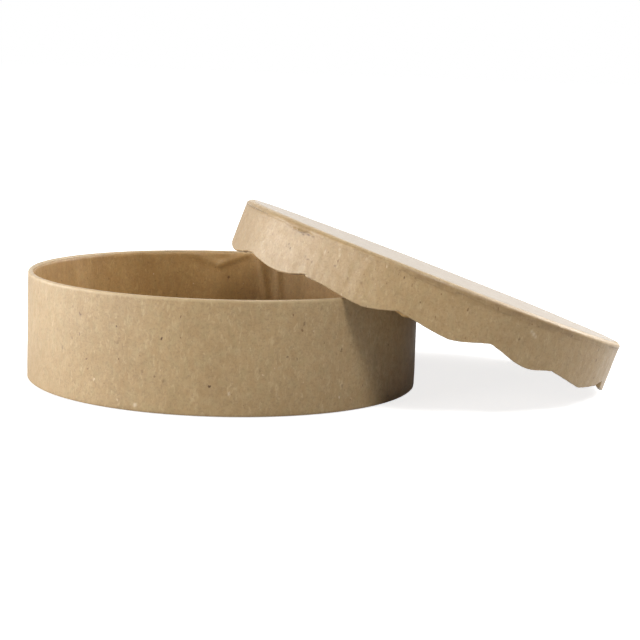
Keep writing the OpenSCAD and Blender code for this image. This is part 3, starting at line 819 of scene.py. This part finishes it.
def skirt_lining():
    low, ceiling = 0.8, LID_DEPTH - 0.5 - 1.3
    outline = dense([(TOUCH_R - 0.02, low), (TOUCH_R - 0.02, 6.0), (LID_BAND_IN - 0.17, 6.05), (LID_BAND_IN - 0.17, ceiling),
                     (LID_IN, ceiling), (LID_IN, low)], 0.8)
    bm = spun(outline, 480)
    for v in bm.verts:
        r, z, turn = math.hypot(v.co.x, v.co.y), v.co.z, math.atan2(v.co.y, v.co.x)
        edge = cut_height(math.degrees(turn))
        if z < STRAIGHT_TO:
            v.co.z = z + edge * (1 - z / STRAIGHT_TO)
        if z < low + 0.2:
            v.co.z += 0.12 * wave_noise(turn, LID_IN, 0, 3, 9, 51) - inner_sag(math.degrees(turn))
        if r < LID_IN + 0.02:
            r -= min(0.16, max(-0.04, 1.2 * unevenness(turn, LID_IN, z, 52)))
        v.co.x, v.co.y = r * math.cos(turn), r * math.sin(turn)
    return finish_piece("lid_skirt_lining_sheet", bm, to_lean, lining_paper, "lid", ["lid_skirt_lining"])


def lid_band():
    """The bent board inside the skirt. It is snipped with the papers, and open at its joint."""
    outline = dense([(LID_BAND_IN, PAPER), (LID_BAND_R, PAPER)]
                    + corner(LID_BAND_R - 0.7, HEAD_Z - PAPER - 0.7, 0.7, 0, 90) + [(LID_BAND_IN, HEAD_Z - PAPER)], 3.0)
    half_slit = 0.2 / LID_BAND_R
    start = Matrix.Rotation(math.radians(75) + half_slit, 3, "Z")
    bm = bmesh.new()
    verts = [bm.verts.new(start @ Vector((r, 0, z))) for r, z in outline]
    section = bm.faces.new(verts)
    bmesh.ops.spin(bm, geom=verts + list(section.edges) + [section], cent=(0, 0, 0), axis=(0, 0, 1),
                   angle=2 * (math.pi - half_slit), steps=360, use_merge=False)
    bmesh.ops.recalc_face_normals(bm, faces=bm.faces)
    for v in bm.verts:
        if v.co.z < STRAIGHT_TO:
            v.co.z += cut_height(math.degrees(math.atan2(v.co.y, v.co.x))) * (1 - v.co.z / STRAIGHT_TO)
    print("open edges of the lid's band:", sum(not e.is_manifold for e in bm.edges))
    return finish_piece("lid_band_board", bm, to_lean, greyboard, "lid", ["lid_skirt"])


def round_sheet(name, radius, low, high, up_side, matrix, material, body, node, seed):
    """A disc of paper whose open side is gently uneven and whose other side lies flat."""
    rings = [radius * share for share in (0, 0.06, 0.14, 0.23, 0.32, 0.41, 0.5, 0.59, 0.68, 0.77, 0.85, 0.92, 0.97)]
    if up_side:
        outline = [(0, low), (radius, low), (radius, high - 0.05), (radius - 0.05, high)] + [(r, high) for r in rings[::-1]]
    else:
        outline = [(r, low) for r in rings] + [(radius - 0.05, low), (radius, low + 0.05), (radius, high), (0, high)]
    bm = spun(outline, 240, closed=False)
    for v in bm.verts:
        r, z, turn = math.hypot(v.co.x, v.co.y), v.co.z, math.atan2(v.co.y, v.co.x)
        open_side = z > high - 0.06 if up_side else z < low + 0.06
        if open_side and name != "base_foot_sheet":
            wave = 0.08 * wave_noise(turn, r, 0, 19, 9, seed) + 0.04 * wave_noise(turn, r, 0, 6, 9, seed + 1)
            v.co.z += (wave if up_side else -wave) * smooth((radius - r) / 3)
    return finish_piece(name, bm, matrix, material, body, [node])


skirt_lining()
lid_band()
round_sheet("lid_ceiling_sheet", LID_IN - 0.05, LID_DEPTH - 2.05, LID_DEPTH - 1.8, False,
            to_lean, lining_paper, "lid", "lid_panel_lining", 61)
round_sheet("base_floor_sheet", BASE_IN, FLOOR_TOP, FLOOR_TOP + PAPER, True,
            to_base, lining_paper, "base", "base_floor_lining", 64)

# %% [markdown]
# The pieces whose CAD shape is right as it is keep it: the boards and tapes inside the papers,
# and the sheet under the foot, which has to be flat. They only need their own finish.
# %% Finish of the CAD pieces
FINISHES = {"base_bottom_cover": outer_paper, "base_wall": greyboard, "base_floor": greyboard,
            "lid_panel": greyboard, "base_joint_tape": tape_paper, "lid_joint_tape": tape_paper}
for node, finish in FINISHES.items():
    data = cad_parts[node].data
    data.materials.clear()
    data.materials.append(finish)
print("finished", len(FINISHES), "CAD pieces")

# %% [markdown]
# The photograph is read as plain screen colours, so the view transform is Standard.
# %% View
bpy.context.scene.view_settings.view_transform = "Standard"
